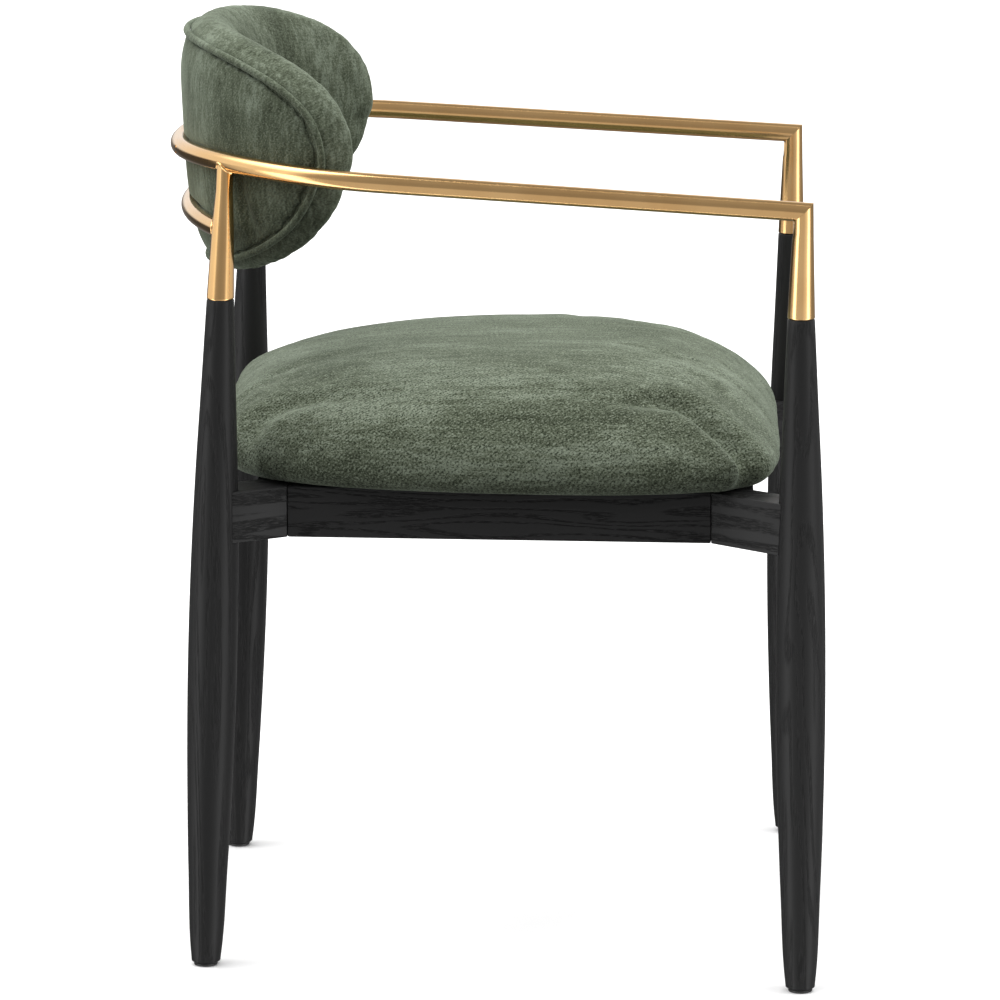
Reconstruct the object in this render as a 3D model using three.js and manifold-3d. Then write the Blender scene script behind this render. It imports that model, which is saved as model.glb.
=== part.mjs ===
// Dining armchair: four turned, black-stained ash legs, a tubular brass arm rail that wraps
// round an upholstered oval backrest, and a crowned seat cushion on a wooden seat frame.
// Millimetres, +Z up, front of the chair towards -Y. "right" is the sitter's right-hand side,
// which is -X. The dimensions below are laid out from the middle of the four feet; the last
// step shifts the finished chair so that its origin is under the middle of its bounding box.
import * as THREE from 'three';
import { mergeVertices } from 'three/addons/utils/BufferGeometryUtils.js';
import Module from 'manifold-3d';

const wasm = await Module();
wasm.setup();

// ---------------------------------------------------------------- driving dimensions
const GAP = 0.4;                    // clearance left between pieces that touch
const SIDES = { right: -1, left: 1 };

// Centre lines of the legs and posts on the left side; the right side mirrors X.
const FRONT = {
  foot: [259, -249, 0],
  joint: [219, -245, 558],          // where the brass post meets the wooden leg
  top: [223, -246, 646.5],          // where the post meets the arm rail
};
const REAR = {
  foot: [194, 249, 0],
  joint: [190, 231.8, 567],
  top: [150, 230.5, 676],
};

// Turned leg: radius at each fraction of the leg's height.
const LEG_PROFILE = [
  [0.006, 12.0], [0.02, 12.9], [0.14, 16.3], [0.28, 19], [0.44, 20.5],
  [0.6, 19.9], [0.75, 17.5], [0.88, 14.2], [1, 11.3],
];
const LEG_FOOT_RADIUS = 11.4;
const LEG_SIDES = 18;
const GLIDE = { height: 2.6, radius: 10, stemRadius: 3, stemLength: 16 };
const STUD = { radius: 4, intoLeg: 38, intoPost: 11 };

// Brass frame.
const POST = { bottomRadius: 11.4, topRadius: 8, wall: 1.6, plug: 14, sides: 14, boreSides: 6 };
const RAIL = { radius: 8, wall: 1.5, sides: 10, boreSides: 6, steps: 52 };
const RAIL_BEND = { centreY: 95, halfWidth: 214, depth: 184 };   // half ellipse in plan
const ARM_RISE = 20.2;              // rise of an arm from the front corner to the bend
const BACK_DROP = 6.1;              // how far the rail levels off at the very back
const LOWER_RAIL = {
  radius: 7.5, wall: 1.5, sides: 10, boreSides: 6, steps: 16, height: 621, backY: 270,
};

// Backrest, laid out on an upright half ellipse just inside the arm rail.
const BACK_PLAN = { centreY: 95, halfWidth: 197, depth: 163 };
const BACK = { middle: 677, span: 229, taper: 0.11, squareness: 2.4, lean: 0.04, flare: 9 };
const BACK_RISE = { upper: 90, lower: 100 };
const TOP_ROLL = 0.75;              // extra fullness of the pad beyond the seam, at the top
const PAD_OUTLINE = [               // [share of the seam outline, depth in front of the seam]
  [0, 4.5], [0.965, 4.5], [1.03, 7], [1.08, 13], [1.095, 20], [1.075, 29], [1.02, 36],
  [0.9, 41.5], [0.6, 45], [0, 46],
];
const PANEL_OUTLINE = [
  [0, -8.5], [0.3, -7.8], [0.56, -5.8], [0.8, -3.4], [0.93, -2], [0.962, 0], [0.962, 2.8], [0, 2.8],
];
const CORE = { share: 0.85, back: 4.6, front: 13 };
const PIPING_RADIUS = 3.2;
const OVAL_SIDES = 32;
const SHARED_RINGS = [0.22, 0.45, 0.67, 0.85];    // shares of the seam outline
const RING_MARGIN = 0.02;
const BACK_BOLT = { radius: 2.2, headRadius: 3.6, headHeight: 2.4, sunk: 0.6, length: 28, spacing: 62 };

// Seat frame.
const FRAME_TOP = 407;
const FRAME_HEIGHT = 43;
const RAIL_THICKNESS = 24;
const SIDE_RAIL = { front: [193, -173], rear: [177, 179] };      // outer face
const FRONT_RAIL_Y = -208;          // outer faces of the cross rails
const REAR_RAIL_Y = 206;
const BLOCK_ANGLE = { front: 39, rear: 33 };    // degrees from the front-back line
const BLOCK_LAP = 30;               // how far a block runs along the inside of each rail
const LEG_BOLT = { radius: 4, headRadius: 6.5, headHeight: 5, seat: 2 };
const SEAT_SCREW = { radius: 2.2, headRadius: 4.5, headHeight: 3, counterbore: 12, fromMiddle: 95 };

// Seat.
const BOARD = { thickness: 12, inset: 20 };
const CUSHION = { top: 506, squareness: 3.6, sides: 36 };
const CUSHION_PLAN = { front: -231, rear: 236, frontHalf: 210, middleHalf: 219, rearHalf: 170 };
const CUSHION_PROFILE = [           // [share of the outline, share of the height]
  [0, 0], [0.93, 0], [0.985, 0.1], [1, 0.26], [0.985, 0.44], [0.93, 0.62], [0.84, 0.76],
  [0.68, 0.88], [0.45, 0.96], [0.2, 0.99], [0, 1],
];
const DUST_COVER = { thickness: 0.8, clearance: 5 };

// ---------------------------------------------------------------- materials
function finish(color, roughness, metalness) {
  return new THREE.MeshStandardMaterial({ color, roughness, metalness });
}
const blackAsh = finish(0x191919, 0.55, 0);
const brass = finish(0xc49a5a, 0.3, 1);
const velvet = finish(0x4a5442, 0.95, 0);
const nylon = finish(0x1c1c1c, 0.6, 0);
const plywood = finish(0xb08d5f, 0.7, 0);
const steel = finish(0x9a9a98, 0.4, 1);
const lining = finish(0x202020, 0.95, 0);

// ---------------------------------------------------------------- helpers
const chair = new THREE.Group();

// A closed geometry as a solid that can be cut and joined.
function toSolid(geometry) {
  const bare = geometry.clone();
  bare.deleteAttribute('normal');
  bare.deleteAttribute('uv');
  const merged = mergeVertices(bare, 1e-3);
  const corners = merged.index.array;
  const kept = [];
  for (let i = 0; i < corners.length; i += 3) {
    const [a, b, c] = [corners[i], corners[i + 1], corners[i + 2]];
    if (a !== b && b !== c && c !== a) kept.push(a, b, c);
  }
  return new wasm.Manifold(new wasm.Mesh({
    numProp: 3,
    vertProperties: new Float32Array(merged.attributes.position.array),
    triVerts: new Uint32Array(kept),
  }));
}

function toGeometry(solid) {
  const mesh = solid.getMesh();
  const geometry = new THREE.BufferGeometry();
  geometry.setAttribute('position', new THREE.BufferAttribute(mesh.vertProperties, 3));
  geometry.setIndex(new THREE.BufferAttribute(mesh.triVerts, 1));
  geometry.computeVertexNormals();
  return geometry;
}

function addPiece(name, solid, material) {
  const mesh = new THREE.Mesh(toGeometry(solid), material);
  mesh.name = name;
  chair.add(mesh);
}

function vec(point, side = 1) {
  return new THREE.Vector3(point[0] * side, point[1], point[2] ?? 0);
}

// A turned solid standing on Z, from [radius, height] pairs that go up its outside.
function turned(profile, sides) {
  const points = profile.map(([radius, height]) => new THREE.Vector2(radius, height));
  return new THREE.LatheGeometry(points, sides).rotateX(Math.PI / 2);
}

// A turned solid whose axis runs from one point to another, with every section level.
function leaning(profile, sides, from, to) {
  const rise = to.z - from.z;
  const slopeX = (to.x - from.x) / rise;
  const slopeY = (to.y - from.y) / rise;
  const lean = new THREE.Matrix4().makeShear(0, 0, 0, 0, slopeX, slopeY);
  return turned(profile, sides).applyMatrix4(lean).translate(from.x, from.y, from.z);
}

// A round bar between two points.
function bar(from, to, radius, sides = 12) {
  const axis = to.clone().sub(from);
  const geometry = new THREE.CylinderGeometry(radius, radius, axis.length(), sides);
  const turn = new THREE.Quaternion().setFromUnitVectors(
    new THREE.Vector3(0, 1, 0), axis.clone().normalize());
  const middle = from.clone().add(to).multiplyScalar(0.5);
  return toSolid(geometry.applyQuaternion(turn).translate(middle.x, middle.y, middle.z));
}

// A level slab with the given plan outline.
function slab(outline, bottom, height) {
  const shape = new THREE.Shape(outline.map(([x, y]) => new THREE.Vector2(x, y)));
  const geometry = new THREE.ExtrudeGeometry(shape, { depth: height, bevelEnabled: false });
  return toSolid(geometry.translate(0, 0, bottom));
}

// The half space on the side of a plane that its normal points to, as a large block.
function halfSpace(point, normal) {
  const size = 400;
  const turn = new THREE.Quaternion().setFromUnitVectors(
    new THREE.Vector3(0, 0, 1), normal.clone().normalize());
  const geometry = new THREE.BoxGeometry(size, size, size).translate(0, 0, size / 2);
  return toSolid(geometry.applyQuaternion(turn).translate(point.x, point.y, point.z));
}

function alongLine(from, to, height) {
  return from.clone().lerp(to, (height - from.z) / (to.z - from.z));
}

function tubeAlong(path, radius, sides, steps) {
  const section = new THREE.Shape();
  for (let i = 0; i < sides; i += 1) {
    const angle = (2 * Math.PI * i) / sides;
    const [x, y] = [radius * Math.cos(angle), radius * Math.sin(angle)];
    if (i === 0) section.moveTo(x, y);
    else section.lineTo(x, y);
  }
  section.closePath();
  return toSolid(new THREE.ExtrudeGeometry(section, { steps, extrudePath: path, curveSegments: 1 }));
}

// ---------------------------------------------------------------- arm rail
const railAngle = new THREE.EllipseCurve(
  0, RAIL_BEND.centreY, RAIL_BEND.halfWidth, RAIL_BEND.depth, 0, Math.PI);

function railHeight(y) {
  const armLength = RAIL_BEND.centreY - FRONT.top[1];
  const slope = ARM_RISE / armLength;
  const intoBend = Math.max(0, (y - RAIL_BEND.centreY) / RAIL_BEND.depth);
  return FRONT.top[2] + slope * (y - FRONT.top[1]) - BACK_DROP * intoBend ** 6;
}

function railPath(overrun) {
  const points = [];
  const armStarts = { left: [], right: [] };
  for (const [name, side] of Object.entries(SIDES)) {
    const corner = vec(FRONT.top, side);
    const bend = new THREE.Vector3(RAIL_BEND.halfWidth * side, RAIL_BEND.centreY,
      railHeight(RAIL_BEND.centreY));
    const back = bend.clone().sub(corner).normalize();
    armStarts[name].push(corner.clone().addScaledVector(back, -overrun));
    for (const share of [0.25, 0.5, 0.75, 0.93]) {
      armStarts[name].push(corner.clone().lerp(bend, share));
    }
  }
  points.push(...armStarts.left);
  const bendPoints = 20;
  for (let i = 0; i <= bendPoints; i += 1) {
    const { x, y } = railAngle.getPoint(i / bendPoints);
    points.push(new THREE.Vector3(x, y, railHeight(y)));
  }
  points.push(...armStarts.right.reverse());
  return new THREE.CatmullRomCurve3(points);
}

// The plane of the mitre between an arm and its front post; its normal points to the arm.
function mitre(side) {
  const corner = vec(FRONT.top, side);
  const bend = new THREE.Vector3(RAIL_BEND.halfWidth * side, RAIL_BEND.centreY,
    railHeight(RAIL_BEND.centreY));
  const alongArm = bend.sub(corner).normalize();
  const downPost = vec(FRONT.joint, side).sub(corner).normalize();
  return { corner, normal: alongArm.sub(downPost).normalize() };
}

const railOverrun = 24;
const railSkin = tubeAlong(railPath(railOverrun), RAIL.radius, RAIL.sides, RAIL.steps);
const railBore = tubeAlong(railPath(railOverrun + 4), RAIL.radius - RAIL.wall, RAIL.boreSides,
  RAIL.steps);

// ---------------------------------------------------------------- backrest bolts
// Each bolt passes through a rail, level and square to it, into the backrest's core. Its head
// is let into the back of the rail.
function backBolt(pointOnRail, inward, railRadius) {
  const at = (depth) => pointOnRail.clone().addScaledVector(inward, depth - railRadius);
  const neck = BACK_BOLT.sunk + BACK_BOLT.headHeight;
  const shank = bar(at(neck - 0.5), at(BACK_BOLT.length), BACK_BOLT.radius, 10);
  const bore = bar(at(neck - 0.5), at(BACK_BOLT.length + 2), BACK_BOLT.radius + GAP, 10);
  return {
    body: shank.add(bar(at(BACK_BOLT.sunk), at(neck), BACK_BOLT.headRadius, 12)),
    clearance: bore.add(bar(at(-3), at(neck + GAP), BACK_BOLT.headRadius + GAP, 12)),
  };
}

function lowerRailPath(overrun) {
  const post = alongLine(vec(REAR.joint), vec(REAR.top), LOWER_RAIL.height);
  const sag = LOWER_RAIL.backY - post.y;
  const radius = (post.x ** 2 + sag ** 2) / (2 * sag);
  const halfAngle = Math.asin(post.x / radius) + overrun / radius;
  const points = [];
  const pieces = 12;
  for (let i = 0; i <= pieces; i += 1) {
    const angle = halfAngle * (1 - (2 * i) / pieces);
    points.push(new THREE.Vector3(radius * Math.sin(angle),
      LOWER_RAIL.backY - radius * (1 - Math.cos(angle)), LOWER_RAIL.height));
  }
  return new THREE.CatmullRomCurve3(points);
}

const backBolts = {};
for (const [name, side] of Object.entries(SIDES)) {
  const share = BACK_BOLT.spacing / RAIL_BEND.halfWidth;
  const y = RAIL_BEND.centreY + RAIL_BEND.depth * Math.sqrt(1 - share ** 2);
  const normal = new THREE.Vector3(-side * share / RAIL_BEND.halfWidth,
    -(y - RAIL_BEND.centreY) / RAIL_BEND.depth ** 2, 0).normalize();
  const onUpper = new THREE.Vector3(side * BACK_BOLT.spacing, y, railHeight(y));
  backBolts[`back_bolt_upper_${name}`] = backBolt(onUpper, normal, RAIL.radius);
  const path = lowerRailPath(0);
  const at = 0.5 - (side * 0.5 * BACK_BOLT.spacing) / REAR.top[0];
  const along = path.getTangentAt(at);
  const inward = new THREE.Vector3(along.y, -along.x, 0).normalize();
  if (inward.y > 0) inward.negate();
  backBolts[`back_bolt_lower_${name}`] = backBolt(path.getPointAt(at), inward,
    LOWER_RAIL.radius);
}

function cutBackBolts(solid) {
  return Object.values(backBolts).reduce((body, bolt) => body.subtract(bolt.clearance), solid);
}

// ---------------------------------------------------------------- brass frame
function buildArmRail() {
  let rail = railSkin.subtract(railBore);
  for (const side of Object.values(SIDES)) {
    const { corner, normal } = mitre(side);
    const cut = corner.clone().addScaledVector(normal, GAP / 2);
    rail = rail.subtract(halfSpace(cut, normal.clone().negate()));
  }
  addPiece('arm_rail', cutBackBolts(rail), brass);
}

function postShell(leg, side, overrun) {
  const from = vec(leg.joint, side);
  from.z += GAP;
  const to = vec(leg.top, side);
  const height = to.z - from.z;
  const taper = (POST.bottomRadius - POST.topRadius) / height;
  const end = height + overrun;
  const endRadius = POST.topRadius - taper * overrun;
  const outer = leaning([[0, 0], [POST.bottomRadius, 0], [endRadius, end], [0, end]],
    POST.sides, from, to);
  const bore = leaning([[0, POST.plug], [POST.bottomRadius - POST.wall - 1, POST.plug],
    [endRadius - POST.wall, end + 1], [0, end + 1]], POST.boreSides, from, to);
  return { outer: toSolid(outer), bore: toSolid(bore) };
}

function studClearance(leg, side) {
  const joint = vec(leg.joint, side);
  const from = joint.clone().setZ(joint.z - STUD.intoLeg - 2);
  const to = joint.clone().setZ(joint.z + STUD.intoPost + 2);
  return bar(from, to, STUD.radius + GAP, 12);
}

const postOverrun = 26;

function buildPosts() {
  for (const [name, side] of Object.entries(SIDES)) {
    const front = postShell(FRONT, side, postOverrun);
    const { corner, normal } = mitre(side);
    const cut = corner.clone().addScaledVector(normal, -GAP / 2);
    const frontPost = front.outer.subtract(front.bore)
      .subtract(studClearance(FRONT, side))
      .subtract(halfSpace(cut, normal));
    addPiece(`post_front_${name}`, frontPost, brass);

    const rear = postShell(REAR, side, 0);
    const railRoom = tubeAlong(railPath(railOverrun), RAIL.radius + GAP, RAIL.sides, RAIL.steps);
    const rearPost = rear.outer.subtract(rear.bore)
      .subtract(studClearance(REAR, side))
      .subtract(railRoom);
    addPiece(`post_rear_${name}`, rearPost, brass);
  }
}

function buildLowerRail() {
  const skin = tubeAlong(lowerRailPath(0), LOWER_RAIL.radius, LOWER_RAIL.sides, LOWER_RAIL.steps);
  const bore = tubeAlong(lowerRailPath(4), LOWER_RAIL.radius - LOWER_RAIL.wall,
    LOWER_RAIL.boreSides, LOWER_RAIL.steps);
  let rail = skin.subtract(bore);
  for (const side of Object.values(SIDES)) {
    const from = vec(REAR.joint, side);
    const to = vec(REAR.top, side);
    const height = to.z - from.z;
    const room = leaning([[0, 0], [POST.bottomRadius + GAP, 0], [POST.topRadius + GAP, height],
      [0, height]], POST.sides, from, to);
    rail = rail.subtract(toSolid(room));
  }
  addPiece('lower_back_rail', cutBackBolts(rail), brass);
}

// ---------------------------------------------------------------- legs
function legSolid(leg, side) {
  const from = vec(leg.foot, side).setZ(0);
  const to = vec(leg.joint, side);
  const profile = [[0, GLIDE.height + GAP], [LEG_FOOT_RADIUS, GLIDE.height + GAP]];
  for (const [share, radius] of LEG_PROFILE) profile.push([radius, share * to.z]);
  profile.push([0, to.z]);
  return toSolid(leaning(profile, LEG_SIDES, from, to));
}

function buildLegs(bolts) {
  for (const [place, leg] of Object.entries({ front: FRONT, rear: REAR })) {
    for (const [name, side] of Object.entries(SIDES)) {
      const foot = vec(leg.foot, side);
      const joint = vec(leg.joint, side);
      const stemRoom = bar(foot.clone().setZ(0),
        foot.clone().setZ(GLIDE.height + GLIDE.stemLength + 2), GLIDE.stemRadius + GAP, 10);
      const wood = legSolid(leg, side)
        .subtract(studClearance(leg, side))
        .subtract(stemRoom)
        .subtract(bolts[`leg_bolt_${place}_${name}`].clearance);
      addPiece(`leg_${place}_${name}`, wood, blackAsh);

      const stud = bar(joint.clone().setZ(joint.z - STUD.intoLeg),
        joint.clone().setZ(joint.z + STUD.intoPost), STUD.radius, 10);
      addPiece(`leg_stud_${place}_${name}`, stud, steel);

      const stemTop = GLIDE.height + GLIDE.stemLength;
      const glide = turned([[0, 0], [GLIDE.radius, 0], [GLIDE.radius, GLIDE.height],
        [GLIDE.stemRadius, GLIDE.height], [GLIDE.stemRadius, stemTop], [0, stemTop]], 12);
      addPiece(`glide_${place}_${name}`, toSolid(glide.translate(foot.x, foot.y, 0)), nylon);
    }
  }
}

// ---------------------------------------------------------------- seat frame
function unit(from, to) {
  return to.clone().sub(from).normalize();
}

function plan(point) {
  return new THREE.Vector2(point[0], point[1]);
}

// Plan corners of one corner block on the left side, and the level line of its leg bolt.
function cornerLayout(leg, railEnd, railOther, crossY, degrees) {
  const middle = FRAME_TOP - FRAME_HEIGHT / 2;
  const at = alongLine(vec(leg.foot), vec(leg.joint), middle);
  const legCentre = new THREE.Vector2(at.x, at.y);
  const outer = plan(railEnd);
  const alongSide = unit(outer, plan(railOther));
  const inwardNormal = new THREE.Vector2(-Math.abs(alongSide.y),
    Math.sign(alongSide.y) * alongSide.x);
  const forwards = Math.sign(legCentre.y);
  const angle = THREE.MathUtils.degToRad(degrees);
  const outwards = new THREE.Vector2(Math.sin(angle), forwards * Math.cos(angle));
  const reach = legCentre.clone().sub(outer).dot(outwards);
  const legOuter = outer.clone().addScaledVector(outwards, reach);
  const legInner = legCentre.clone().multiplyScalar(2).sub(legOuter);
  const crossOuter = legInner.clone().addScaledVector(outwards,
    -(legInner.y - crossY) / outwards.y);
  const crossInnerY = crossY - forwards * RAIL_THICKNESS;
  const innerEnd = outer.clone().addScaledVector(inwardNormal, RAIL_THICKNESS + GAP);
  const lapSide = innerEnd.clone().addScaledVector(alongSide, BLOCK_LAP);
  const crossInner = new THREE.Vector2(crossOuter.x, crossInnerY - forwards * GAP);
  const lapCross = new THREE.Vector2(crossOuter.x - BLOCK_LAP, crossInner.y);
  return {
    outline: [outer, innerEnd, lapSide, lapCross, crossInner, crossOuter, legInner, legOuter],
    crossEnd: crossOuter.x - GAP,
    legCentre,
    outwards,
    lapMiddle: lapSide.clone().add(lapCross).multiplyScalar(0.5),
    middle,
  };
}

const frontCorner = cornerLayout(FRONT, SIDE_RAIL.front, SIDE_RAIL.rear, FRONT_RAIL_Y,
  BLOCK_ANGLE.front);
const rearCorner = cornerLayout(REAR, SIDE_RAIL.rear, SIDE_RAIL.front, REAR_RAIL_Y,
  BLOCK_ANGLE.rear);

function mirrored(outline, side) {
  return outline.map((point) => [point.x * side, point.y]);
}

// A level bolt from inside a corner block into the middle of its leg.
function legBolt(corner, side) {
  const back = corner.legCentre.clone().sub(corner.lapMiddle).dot(corner.outwards);
  const seatDepth = back - LEG_BOLT.seat;
  const point = (distance) => {
    const p = corner.legCentre.clone().addScaledVector(corner.outwards, -distance);
    return new THREE.Vector3(p.x * side, p.y, corner.middle);
  };
  const body = bar(point(seatDepth + 0.5), point(-1), LEG_BOLT.radius, 10)
    .add(bar(point(seatDepth + LEG_BOLT.headHeight), point(seatDepth), LEG_BOLT.headRadius, 6));
  const hole = bar(point(seatDepth), point(-3), LEG_BOLT.radius + GAP, 10);
  const recess = bar(point(seatDepth + 40), point(seatDepth - GAP), LEG_BOLT.headRadius + GAP, 12);
  return { body, hole, clearance: hole.add(recess) };
}

// A screw up through the middle of a cross rail's thickness into the seat board.
function seatScrew(railY, side) {
  const spot = { x: SEAT_SCREW.fromMiddle, y: railY - Math.sign(railY) * (RAIL_THICKNESS / 2) };
  const bottom = FRAME_TOP - FRAME_HEIGHT;
  const at = (z) => new THREE.Vector3(spot.x * side, spot.y, z);
  const headBottom = bottom + SEAT_SCREW.counterbore;
  const tip = FRAME_TOP + BOARD.thickness - 2;
  const neck = headBottom + SEAT_SCREW.headHeight;
  return {
    body: bar(at(headBottom), at(neck), SEAT_SCREW.headRadius, 10)
      .add(bar(at(neck - 0.5), at(tip), SEAT_SCREW.radius, 8)),
    clearance: bar(at(neck), at(tip + 1), SEAT_SCREW.radius + GAP, 8)
      .add(bar(at(bottom - 2), at(neck + GAP), SEAT_SCREW.headRadius + 1, 12)),
  };
}

// The leg bolts graze the inner ends of the rails, which are drilled with the blocks.
function cutBoltHoles(rail, bolts) {
  return Object.values(bolts).reduce((body, bolt) => body.subtract(bolt.hole), rail);
}

function buildSeatFrame(bolts, screws) {
  const bottom = FRAME_TOP - FRAME_HEIGHT;
  const front = plan(SIDE_RAIL.front);
  const rear = plan(SIDE_RAIL.rear);
  const along = unit(front, rear);
  const inward = new THREE.Vector2(-along.y, along.x);
  for (const [name, side] of Object.entries(SIDES)) {
    const a = front.clone().addScaledVector(along, GAP);
    const b = rear.clone().addScaledVector(along, -GAP);
    const c = b.clone().addScaledVector(inward, RAIL_THICKNESS);
    const d = a.clone().addScaledVector(inward, RAIL_THICKNESS);
    const rail = slab(mirrored([a, b, c, d], side), bottom, FRAME_HEIGHT);
    addPiece(`side_rail_${name}`, cutBoltHoles(rail, bolts), blackAsh);
  }
  for (const [name, corner, y, forwards] of [
    ['front_rail', frontCorner, FRONT_RAIL_Y, -1], ['rear_rail', rearCorner, REAR_RAIL_Y, 1]]) {
    const inner = y - forwards * RAIL_THICKNESS;
    const end = corner.crossEnd;
    const rail = slab([[-end, y], [end, y], [end, inner], [-end, inner]], bottom, FRAME_HEIGHT);
    const drilled = Object.values(screws)
      .reduce((body, screw) => body.subtract(screw.clearance), cutBoltHoles(rail, bolts));
    addPiece(name, drilled, blackAsh);
  }
  for (const [place, corner, leg] of [['front', frontCorner, FRONT], ['rear', rearCorner, REAR]]) {
    for (const [name, side] of Object.entries(SIDES)) {
      const id = `${place}_${name}`;
      const foot = vec(leg.foot, side).setZ(0);
      const joint = vec(leg.joint, side);
      const legRadius = Math.max(...LEG_PROFILE.map(([, radius]) => radius));
      const legRoom = leaning([[0, 300], [legRadius + GAP, 300], [legRadius + GAP, 480], [0, 480]],
        LEG_SIDES, foot, joint);
      const block = slab(mirrored(corner.outline, side), bottom, FRAME_HEIGHT)
        .subtract(toSolid(legRoom))
        .subtract(bolts[`leg_bolt_${id}`].clearance);
      addPiece(`corner_block_${id}`, largestPart(block), blackAsh);
      addPiece(`leg_bolt_${id}`, bolts[`leg_bolt_${id}`].body, steel);
      addPiece(`seat_screw_${id}`, screws[`seat_screw_${id}`].body, steel);
    }
  }
}

// Cutting a block round its leg leaves a sliver on the far side; only the block is kept.
function largestPart(solid) {
  return solid.decompose().sort((a, b) => b.volume() - a.volume())[0];
}

// ---------------------------------------------------------------- seat
function cushionHalfWidth(y) {
  const { front, rear, frontHalf, middleHalf, rearHalf } = CUSHION_PLAN;
  const share = (y - front) / (rear - front);
  const straight = frontHalf + (rearHalf - frontHalf) * share;
  const middle = (frontHalf + rearHalf) / 2;
  return straight + (middleHalf - middle) * 4 * share * (1 - share);
}

// Stretches a round outline of radius 1 to the cushion's plan.
function cushionPoint(x, y, height) {
  const radius = Math.hypot(x, y);
  const angle = Math.atan2(y, x);
  const power = 2 / CUSHION.squareness;
  const soften = (value) => Math.sign(value) * Math.abs(value) ** power;
  const middleY = (CUSHION_PLAN.front + CUSHION_PLAN.rear) / 2;
  const halfLength = (CUSHION_PLAN.rear - CUSHION_PLAN.front) / 2;
  const planY = middleY + halfLength * radius * soften(Math.sin(angle));
  const edgeY = middleY + halfLength * soften(Math.sin(angle));
  return [radius * cushionHalfWidth(edgeY) * soften(Math.cos(angle)), planY, height];
}

function mapVertices(geometry, place) {
  const position = geometry.attributes.position;
  for (let i = 0; i < position.count; i += 1) {
    position.setXYZ(i, ...place(position.getX(i), position.getY(i), position.getZ(i)));
  }
  return geometry;
}

function buildSeat(screws) {
  const bottom = FRAME_TOP + GAP;
  const height = CUSHION.top - bottom;
  const profile = CUSHION_PROFILE.map(([radius, share]) => [radius, bottom + share * height]);
  const cushion = toSolid(mapVertices(turned(profile, CUSHION.sides), cushionPoint));
  const boardOutline = [];
  const corners = 20;
  for (let i = 0; i < corners; i += 1) {
    const angle = (2 * Math.PI * i) / corners;
    const [x, y] = cushionPoint(Math.cos(angle), Math.sin(angle), 0);
    const shrink = 1 - BOARD.inset / Math.hypot(x, y);
    boardOutline.push(new THREE.Vector2(x * shrink, y * shrink));
  }
  const outline = mirrored(boardOutline, 1);
  let board = slab(outline, bottom, BOARD.thickness);
  for (const screw of Object.values(screws)) board = board.subtract(screw.clearance);
  const grown = boardOutline.map((p) => p.clone().multiplyScalar(1 + 0.6 / p.length()));
  const recess = slab(mirrored(grown, 1), bottom - 1, BOARD.thickness + 1 + GAP);
  addPiece('seat_board', board, plywood);
  addPiece('seat_cushion', cushion.subtract(recess), velvet);

  const coverTop = FRAME_TOP - 0.1;
  const inset = RAIL_THICKNESS + BLOCK_LAP + DUST_COVER.clearance;
  const halfFront = SIDE_RAIL.front[0] - inset;
  const halfRear = SIDE_RAIL.rear[0] - inset;
  const frontY = FRONT_RAIL_Y + RAIL_THICKNESS + DUST_COVER.clearance + BLOCK_LAP;
  const rearY = REAR_RAIL_Y - RAIL_THICKNESS - DUST_COVER.clearance - BLOCK_LAP;
  const cover = slab([[-halfFront, frontY], [halfFront, frontY], [halfRear, rearY],
    [-halfRear, rearY]], coverTop - DUST_COVER.thickness, DUST_COVER.thickness);
  addPiece('seat_dust_cover', cover, lining);
}

// ---------------------------------------------------------------- backrest
const backCurve = new THREE.EllipseCurve(
  0, BACK_PLAN.centreY, BACK_PLAN.halfWidth, BACK_PLAN.depth, 0, Math.PI);
backCurve.arcLengthDivisions = 600;
const backLength = backCurve.getLength();

// A point of the backrest: along its width, up from its middle, and in front of its seam.
function onBack(along, up, inFront) {
  const share = THREE.MathUtils.clamp(0.5 - along / backLength, 0.0005, 0.9995);
  const point = backCurve.getPointAt(share);
  const tangent = backCurve.getTangentAt(share);
  const x = point.x - tangent.y * inFront;
  const y = point.y + tangent.x * inFront;
  const flare = BACK.flare * THREE.MathUtils.clamp(up / BACK_RISE.upper, 0, 1.1) ** 2;
  return [x, y + BACK.lean * up + flare * Math.sin(Math.PI * share), BACK.middle + up];
}

// The seam's oval at a share of its full size, pushed outwards by a fixed distance.
function oval(share, angle, outwards = 0) {
  const soften = (value) => Math.sign(value) * Math.abs(value) ** (2 / BACK.squareness);
  const above = Math.max(0, Math.sin(angle));
  const below = Math.max(0, -Math.sin(angle));
  const rise = above > 0 ? BACK_RISE.upper : BACK_RISE.lower;
  const full = share + Math.max(0, share - 1) * TOP_ROLL * above;
  const along = BACK.span * share * (1 - BACK.taper * below) * soften(Math.cos(angle));
  const up = rise * full * soften(Math.sin(angle));
  return [along + outwards * Math.cos(angle), up + outwards * Math.sin(angle)];
}

// Adds the shared rings that a profile passes, so that layers bend alike and keep their gaps.
function withRings(profile) {
  const rings = [profile[0]];
  for (let i = 1; i < profile.length; i += 1) {
    const [fromRadius, fromDepth] = profile[i - 1];
    const [toRadius, toDepth] = profile[i];
    const low = Math.min(fromRadius, toRadius) + RING_MARGIN;
    const high = Math.max(fromRadius, toRadius) - RING_MARGIN;
    const between = SHARED_RINGS.filter((ring) => ring > low && ring < high);
    if (toRadius < fromRadius) between.reverse();
    for (const ring of between) {
      const share = (ring - fromRadius) / (toRadius - fromRadius);
      rings.push([ring, fromDepth + (toDepth - fromDepth) * share]);
    }
    rings.push(profile[i]);
  }
  return rings;
}

// Bends a turned disc, with its outline stretched to the oval, round the back's plan.
function bentOval(profile) {
  return toSolid(mapVertices(turned(withRings(profile), OVAL_SIDES), (x, y, z) => {
    const [along, up] = oval(Math.hypot(x, y), Math.atan2(y, x));
    return onBack(along, up, z);
  }));
}

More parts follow.
